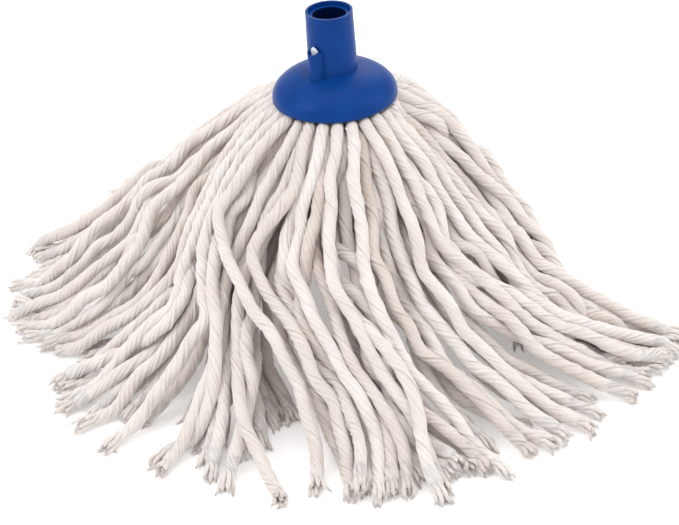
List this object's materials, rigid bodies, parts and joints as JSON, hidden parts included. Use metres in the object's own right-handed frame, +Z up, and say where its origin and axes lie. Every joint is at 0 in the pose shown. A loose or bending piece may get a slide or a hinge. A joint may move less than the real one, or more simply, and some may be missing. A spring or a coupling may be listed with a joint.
{
  "type": "string mop head",
  "caption": "Cotton string mop head: a blue moulded handle socket with a sprung catch over a spread skirt of twisted off-white strands.",
  "frame": {"origin": "on the floor, under the handle's axis, at the bottom centre of the mop head", "axes": "+Z up along the handle's axis, out of the socket's mouth; the catch faces -X -Y"},
  "size_m": [0.4764, 0.4725, 0.2275],
  "materials": {
    "blue_plastic": "royal blue moulded polypropylene, satin",
    "white_nylon": "white nylon, satin",
    "screw_steel": "zinc-plated steel",
    "cotton_yarn": "soft unbleached cotton, loosely twisted"
  },
  "bodies": {
    "mop_head": {"socket": "blue_plastic", "clamp_plate": "blue_plastic", "clamp_screw": "screw_steel", "yarn_middles": "cotton_yarn", "yarn_heap": "cotton_yarn", "outer_strand_01": "cotton_yarn", "outer_strand_02": "cotton_yarn", "outer_strand_03": "cotton_yarn", "outer_strand_04": "cotton_yarn", "outer_strand_05": "cotton_yarn", "outer_strand_06": "cotton_yarn", "outer_strand_07": "cotton_yarn", "outer_strand_08": "cotton_yarn", "outer_strand_09": "cotton_yarn", "outer_strand_10": "cotton_yarn", "outer_strand_11": "cotton_yarn", "outer_strand_12": "cotton_yarn", "outer_strand_13": "cotton_yarn", "outer_strand_14": "cotton_yarn", "outer_strand_15": "cotton_yarn", "outer_strand_16": "cotton_yarn", "outer_strand_17": "cotton_yarn", "outer_strand_18": "cotton_yarn", "outer_strand_19": "cotton_yarn", "outer_strand_20": "cotton_yarn", "outer_strand_21": "cotton_yarn", "outer_strand_22": "cotton_yarn", "outer_strand_23": "cotton_yarn", "outer_strand_24": "cotton_yarn", "outer_strand_25": "cotton_yarn", "outer_strand_26": "cotton_yarn", "outer_strand_27": "cotton_yarn", "inner_strand_01": "cotton_yarn", "inner_strand_02": "cotton_yarn", "inner_strand_03": "cotton_yarn", "inner_strand_04": "cotton_yarn", "inner_strand_05": "cotton_yarn", "inner_strand_06": "cotton_yarn", "inner_strand_07": "cotton_yarn", "inner_strand_08": "cotton_yarn", "inner_strand_09": "cotton_yarn", "inner_strand_10": "cotton_yarn", "inner_strand_11": "cotton_yarn", "inner_strand_12": "cotton_yarn", "inner_strand_13": "cotton_yarn"},
    "catch": {"catch": "white_nylon"}
  },
  "joints": [
    {"name": "catch_pivot", "type": "hinge", "parent": "mop_head", "child": "catch", "pos_m": [-0.01196, -0.01425, 0.1865], "axis": [0.766, -0.6428, 0], "range_deg": [0, 6.5], "stiffness_Nm_per_rad": 0.5}
  ]
}
